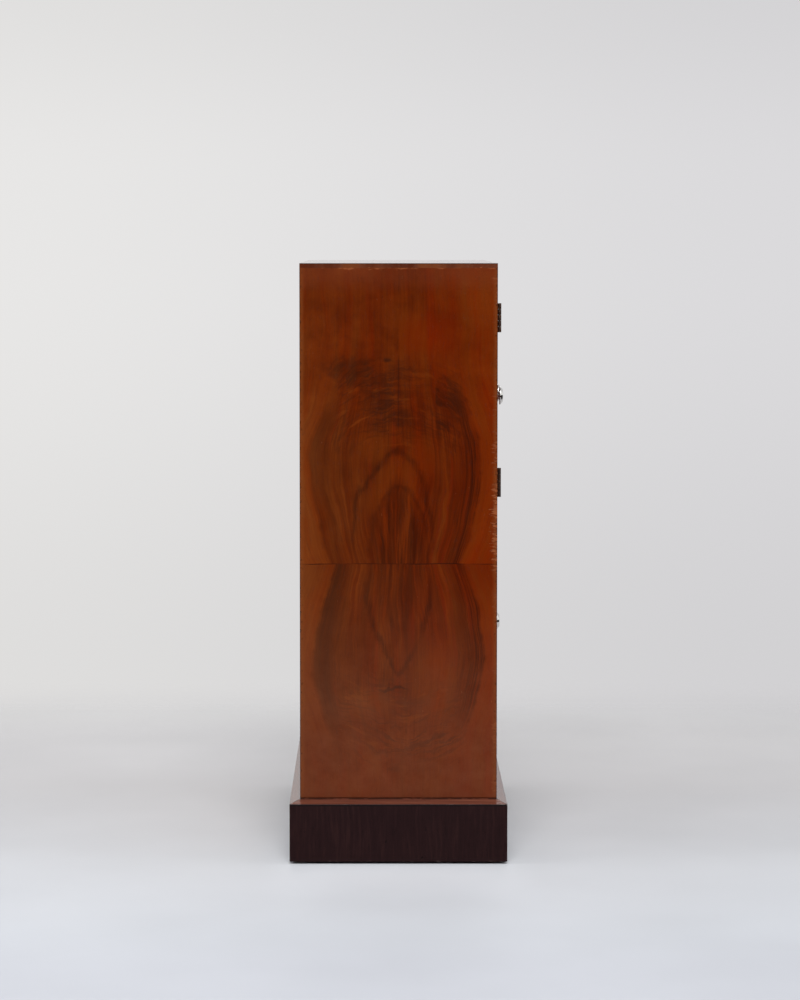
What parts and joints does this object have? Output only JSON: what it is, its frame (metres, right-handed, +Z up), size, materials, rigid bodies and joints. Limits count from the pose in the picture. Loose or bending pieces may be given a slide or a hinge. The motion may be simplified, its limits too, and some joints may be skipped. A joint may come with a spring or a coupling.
{
  "type": "storage cabinet",
  "caption": "Upright walnut storage cabinet on a dark plinth, with a pair of hinged doors over a shelf and one deep drawer below, all with chrome knobs.",
  "frame": {"origin": "on the floor, under the middle of the overall box", "axes": "+Z up, front towards -Y, +X to the right of someone facing the front"},
  "size_m": [0.736, 0.3802, 1.036],
  "materials": {
    "walnut_veneer": "polished, figured",
    "walnut_solid": "polished",
    "rosewood_veneer": "satin",
    "beech": "plain, unpolished",
    "plywood": "plain, unpolished",
    "chrome": "polished",
    "bronze": "dark, tarnished",
    "brass": "dull",
    "steel": "dull"
  },
  "bodies": {
    "cabinet": {"back_panel": "plywood", "back_screws": "steel", "bottom_panel": "walnut_solid", "cap_back": "walnut_solid", "cap_front": "walnut_solid", "cap_left": "walnut_solid", "cap_right": "walnut_solid", "case_dowels": "beech", "case_leaf_screws": "bronze", "catch_clip_screws": "brass", "corner_blocks": "beech", "divider": "walnut_solid", "drawer_stops": "beech", "glides": "steel", "left_catch_clip": "brass", "left_lower_case_leaf": "bronze", "left_lower_hinge_pin": "bronze", "left_runner": "beech", "left_side": "walnut_veneer", "left_upper_case_leaf": "bronze", "left_upper_hinge_pin": "bronze", "plinth_back": "rosewood_veneer", "plinth_front": "rosewood_veneer", "plinth_left": "rosewood_veneer", "plinth_right": "rosewood_veneer", "plinth_screws": "steel", "right_catch_clip": "brass", "right_lower_case_leaf": "bronze", "right_lower_hinge_pin": "bronze", "right_runner": "beech", "right_side": "walnut_veneer", "right_upper_case_leaf": "bronze", "right_upper_hinge_pin": "bronze", "runner_screws": "steel", "shelf": "walnut_solid", "shelf_pegs": "brass", "top_panel": "walnut_veneer"},
    "left_door": {"left_door_panel": "walnut_veneer", "left_upper_door_leaf": "bronze", "left_lower_door_leaf": "bronze", "left_door_leaf_screws": "bronze", "left_door_knob": "chrome", "left_knob_bolt": "steel", "left_catch_stud": "brass"},
    "right_door": {"right_door_panel": "walnut_veneer", "right_upper_door_leaf": "bronze", "right_lower_door_leaf": "bronze", "right_door_leaf_screws": "bronze", "right_door_knob": "chrome", "right_knob_bolt": "steel", "right_catch_stud": "brass"},
    "drawer": {"drawer_front": "walnut_veneer", "drawer_left_side": "beech", "drawer_right_side": "beech", "drawer_back": "beech", "drawer_bottom": "plywood", "drawer_bottom_screws": "steel", "drawer_knob": "chrome", "drawer_knob_bolt": "steel"}
  },
  "joints": [
    {"name": "left_door_hinge", "type": "hinge", "parent": "cabinet", "child": "left_door", "pos_m": [-0.331, -0.17145, 0.80025], "axis": [0, 0, -1], "range_deg": [0, 170]},
    {"name": "right_door_hinge", "type": "hinge", "parent": "cabinet", "child": "right_door", "pos_m": [0.331, -0.17145, 0.80025], "axis": [0, 0, 1], "range_deg": [0, 170]},
    {"name": "drawer_slide", "type": "slide", "parent": "cabinet", "child": "drawer", "axis": [0, -1, 0], "range_m": [0, 0.24]}
  ]
}
